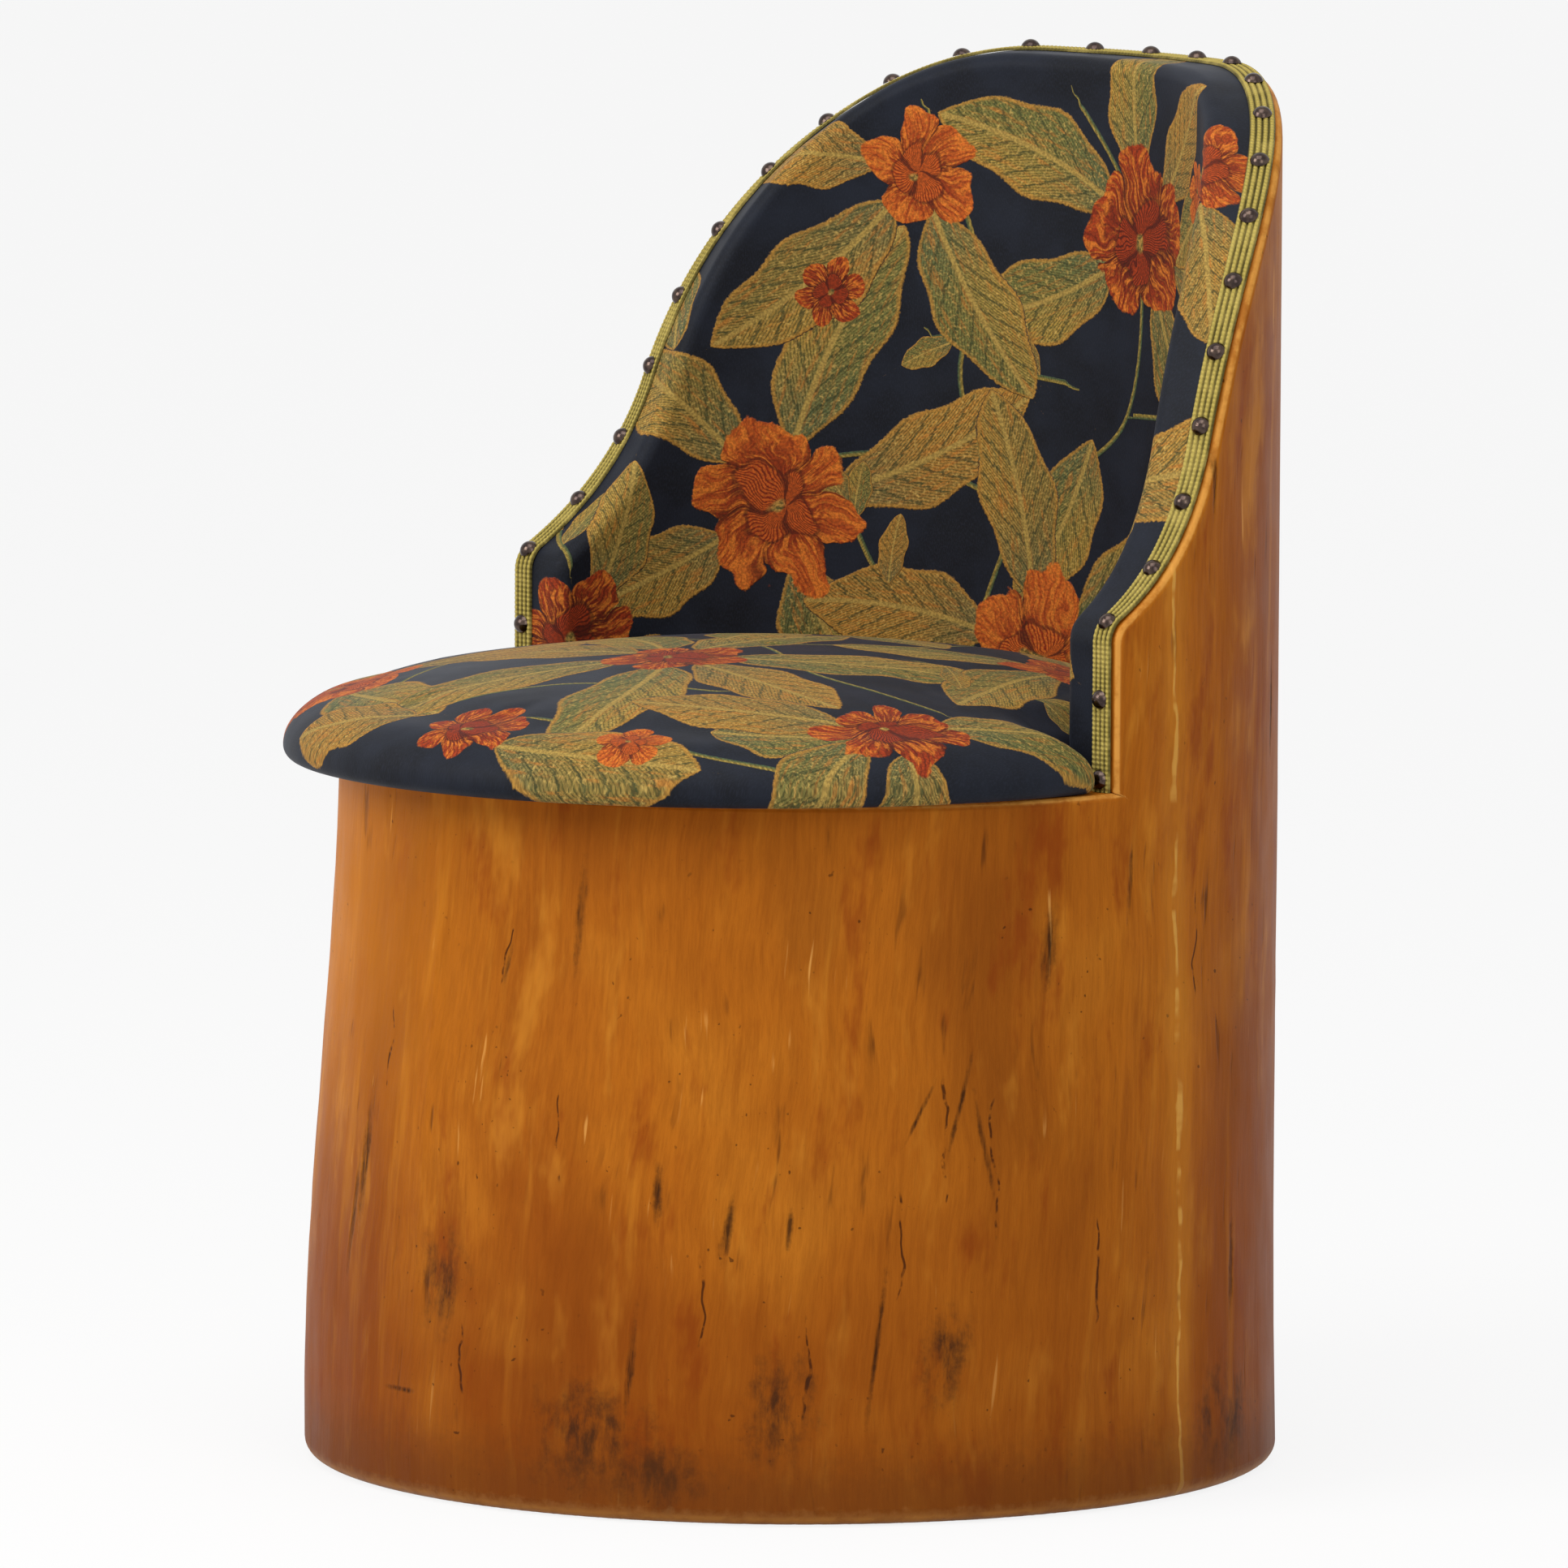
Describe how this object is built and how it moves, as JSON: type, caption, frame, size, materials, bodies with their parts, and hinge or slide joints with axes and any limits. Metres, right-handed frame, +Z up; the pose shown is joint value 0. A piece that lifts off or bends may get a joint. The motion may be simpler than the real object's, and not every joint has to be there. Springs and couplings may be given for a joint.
{
  "type": "stump chair",
  "caption": "Chair cut from a hollowed log, its rear carved into a shell back with padded floral lining and nailed braid, with a padded round seat that lifts off the log's ledge.",
  "frame": {"origin": "bottom centre of the whole chair's box, on the floor; the log's axis stands 20 mm behind it", "axes": "+Z up, -Y is the chair's front, +X is the right side of the chair as seen from the front"},
  "size_m": [0.5339, 0.5539, 0.7632],
  "materials": {
    "log_wood": "satin varnish, aged amber softwood",
    "board_wood": "bare sawn softwood",
    "floral_fabric": "woven jacquard, dark ground with gold-green leaves and rust flowers",
    "padding": "cotton wadding",
    "braid_cord": "ribbed cord braid",
    "nail_metal": "dark antique bronze",
    "steel": "plain"
  },
  "bodies": {
    "log": {"log_body": "log_wood", "back_padding": "padding", "back_cover": "floral_fabric", "braid": "braid_cord", "braid_nails": "nail_metal"},
    "seat": {"seat_board": "board_wood", "seat_padding": "padding", "seat_cover": "floral_fabric", "seat_batten_left": "board_wood", "seat_batten_right": "board_wood", "batten_screws": "steel", "seat_tacks": "steel"}
  },
  "joints": [
    {"name": "seat_lift", "type": "slide", "parent": "log", "child": "seat", "axis": [0, 0, 1], "range_m": [0, 0.43]}
  ]
}
